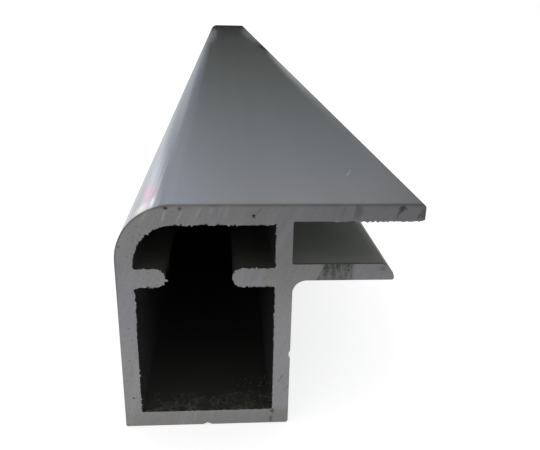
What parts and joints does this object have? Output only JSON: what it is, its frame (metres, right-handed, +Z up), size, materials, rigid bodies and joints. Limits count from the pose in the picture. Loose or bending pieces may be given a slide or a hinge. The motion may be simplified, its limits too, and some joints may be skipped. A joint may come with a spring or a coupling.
{
  "type": "aluminium extrusion profile",
  "caption": "Extruded aluminium rail: a closed tube with inner ribs and a round shoulder, and a top flange and lower ledge that form a panel slot.",
  "frame": {"origin": "middle of the bar's length and of its overall width, on the underside of the bottom wall", "axes": "+X from the round shoulder towards the panel slot, +Y along the bar from the front sawn end to the rear one, +Z up from the bottom wall to the top flange"},
  "size_m": [0.052, 1, 0.0428],
  "materials": {
    "mill_aluminium": "satin"
  },
  "bodies": {
    "root": {"profile_bar": "mill_aluminium"}
  },
  "joints": []
}
